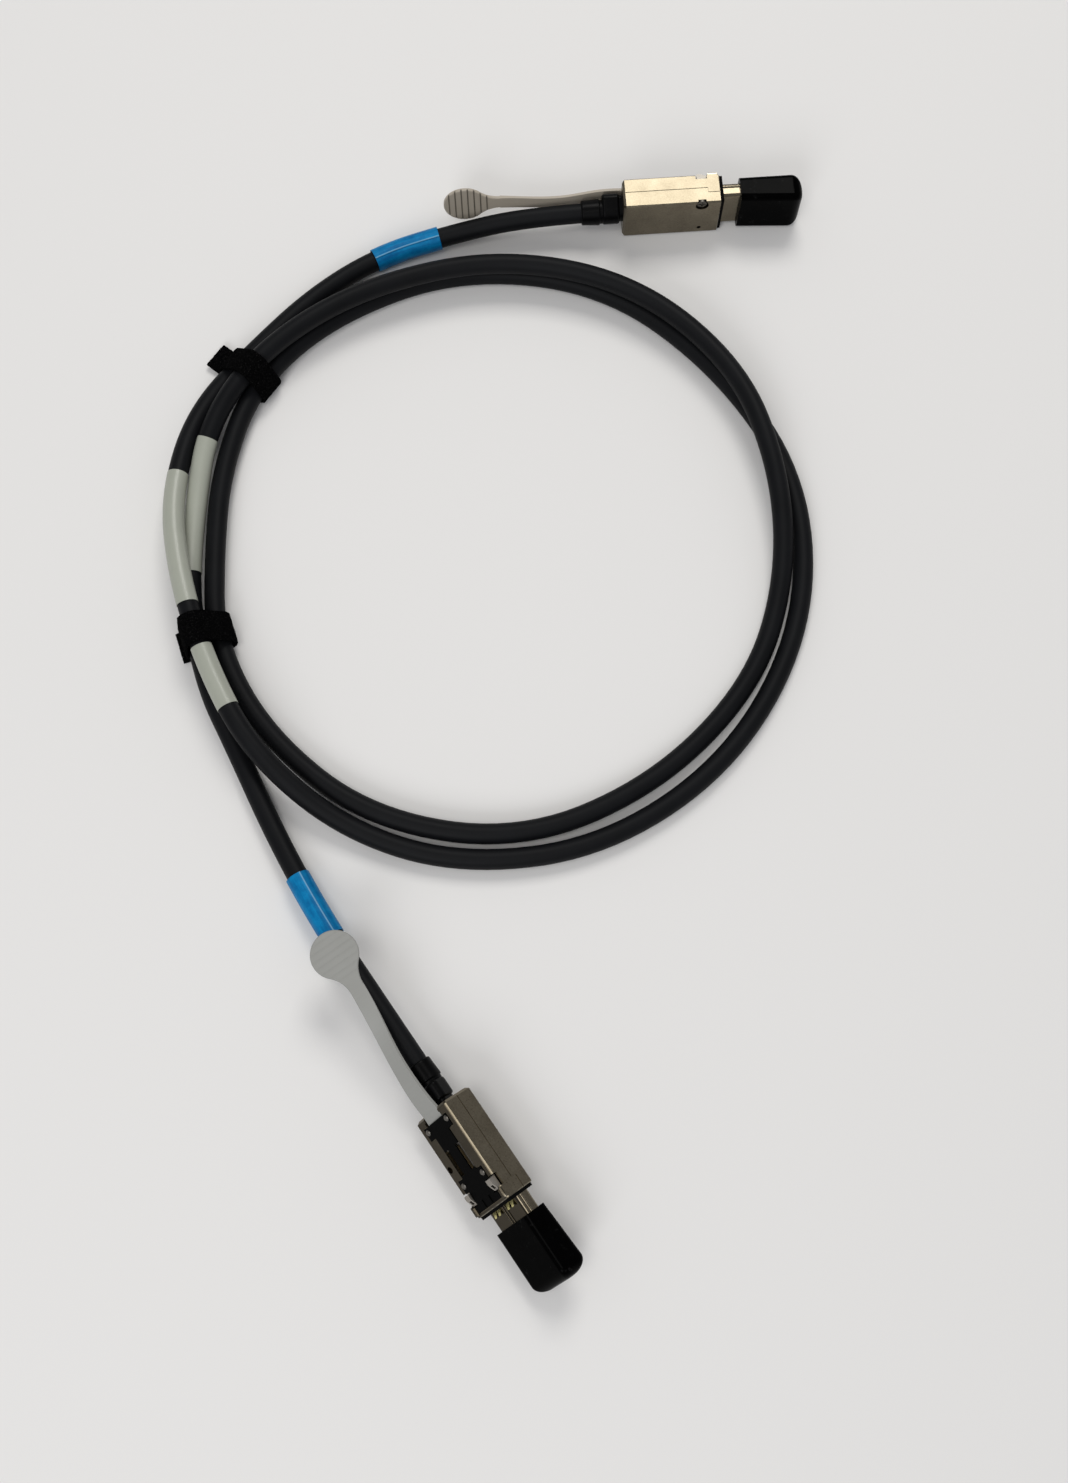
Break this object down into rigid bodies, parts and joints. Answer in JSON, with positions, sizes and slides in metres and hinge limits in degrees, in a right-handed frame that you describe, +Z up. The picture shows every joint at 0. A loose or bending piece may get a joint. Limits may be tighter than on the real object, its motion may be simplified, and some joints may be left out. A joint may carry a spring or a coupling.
{
  "type": "external mini sas cable",
  "caption": "Coiled round cable held by hook-and-loop ties, with a die-cast latching plug, pull tab and slip-on dust cap at each end, for linking storage equipment.",
  "frame": {"origin": "bottom centre of the bounding box of the coiled cable, on the surface it lies on", "axes": "+Z up from the surface, +Y along the length from plug b to plug a, +X to the right seen from above with plug a at the far end"},
  "size_m": [0.2628, 0.4456, 0.0252],
  "materials": {
    "jacket_black": "satin black jacket",
    "sleeve_blue": "glossy blue film",
    "label_white": "bare glossy label",
    "tie_fabric": "black hook-and-loop",
    "shell_metal": "matt nickel plate",
    "nose_metal": "plain nickel plate",
    "gasket_black": "matt black",
    "finger_gold": "gold plate",
    "card_green": "green board",
    "mould_black": "moulded",
    "wire_grey": "foil-wrapped pairs",
    "crimp_copper": "plain copper alloy",
    "boot_black": "satin black moulding",
    "plate_black": "satin black",
    "rivet_steel": "bright steel",
    "latch_steel": "spring steel",
    "screw_steel": "dark plated steel",
    "tab_pale": "pale moulding",
    "cap_black": "soft glossy black"
  },
  "bodies": {
    "root": {"cable_lead_a": "jacket_black", "cable_coil": "jacket_black", "cable_lead_b": "jacket_black", "sleeve_a": "sleeve_blue", "sleeve_b": "sleeve_blue", "label_long": "label_white", "label_short": "label_white", "label_middle": "label_white", "tie_upper": "tie_fabric", "tie_lower": "tie_fabric", "latch_shell_a": "shell_metal", "base_shell_a": "shell_metal", "nose_sleeve_a": "nose_metal", "front_gasket_a": "gasket_black", "spring_fingers_a": "finger_gold", "paddle_card_a": "card_green", "card_contacts_a": "finger_gold", "inner_mould_a": "mould_black", "wire_pairs_a": "wire_grey", "crimp_ring_a": "crimp_copper", "boot_a": "boot_black", "retainer_plate_a": "plate_black", "plate_rivets_a": "rivet_steel", "pivot_pin_a": "rivet_steel", "return_springs_a": "rivet_steel", "shell_screw_a": "screw_steel", "latch_shell_b": "shell_metal", "base_shell_b": "shell_metal", "nose_sleeve_b": "nose_metal", "front_gasket_b": "gasket_black", "spring_fingers_b": "finger_gold", "paddle_card_b": "card_green", "card_contacts_b": "finger_gold", "inner_mould_b": "mould_black", "wire_pairs_b": "wire_grey", "crimp_ring_b": "crimp_copper", "boot_b": "boot_black", "retainer_plate_b": "plate_black", "plate_rivets_b": "rivet_steel", "pivot_pin_b": "rivet_steel", "return_springs_b": "rivet_steel", "shell_screw_b": "screw_steel"},
    "tab_a": {"pull_tab_a": "tab_pale"},
    "latch_a": {"latch_bar_a": "latch_steel"},
    "cap_a": {"dust_cap_a": "cap_black"},
    "tab_b": {"pull_tab_b": "tab_pale"},
    "latch_b": {"latch_bar_b": "latch_steel"},
    "cap_b": {"dust_cap_b": "cap_black"}
  },
  "joints": [
    {"name": "tab_a_pull", "type": "slide", "parent": "root", "child": "tab_a", "axis": [-0.9976, -0.0698, 0], "range_m": [0, 0.003], "stiffness_N_per_m": 1500, "deforming": ["return_springs_a"]},
    {"name": "latch_a_pivot", "type": "hinge", "parent": "root", "child": "latch_a", "pos_m": [0.06968, 0.21883, 0.0112], "axis": [0, 0, -1], "range_deg": [0, 4]},
    {"name": "cap_a_pull", "type": "slide", "parent": "root", "child": "cap_a", "axis": [0.9976, 0.0698, 0], "range_m": [0, 0.03]},
    {"name": "tab_b_pull", "type": "slide", "parent": "root", "child": "tab_b", "axis": [-0.5736, 0.8192, 0], "range_m": [0, 0.003], "stiffness_N_per_m": 1500, "deforming": ["return_springs_b"]},
    {"name": "latch_b_pivot", "type": "hinge", "parent": "root", "child": "latch_b", "pos_m": [-0.00991, -0.17164, 0.0156], "axis": [0.5043, 0.3531, 0.788], "range_deg": [0, 4]},
    {"name": "cap_b_pull", "type": "slide", "parent": "root", "child": "cap_b", "axis": [0.5736, -0.8192, 0], "range_m": [0, 0.03]}
  ],
  "couplings": [
    {"joint": "latch_a_pivot", "follows": "tab_a_pull", "rad_per_m": 23.27},
    {"joint": "latch_b_pivot", "follows": "tab_b_pull", "rad_per_m": 23.27}
  ]
}
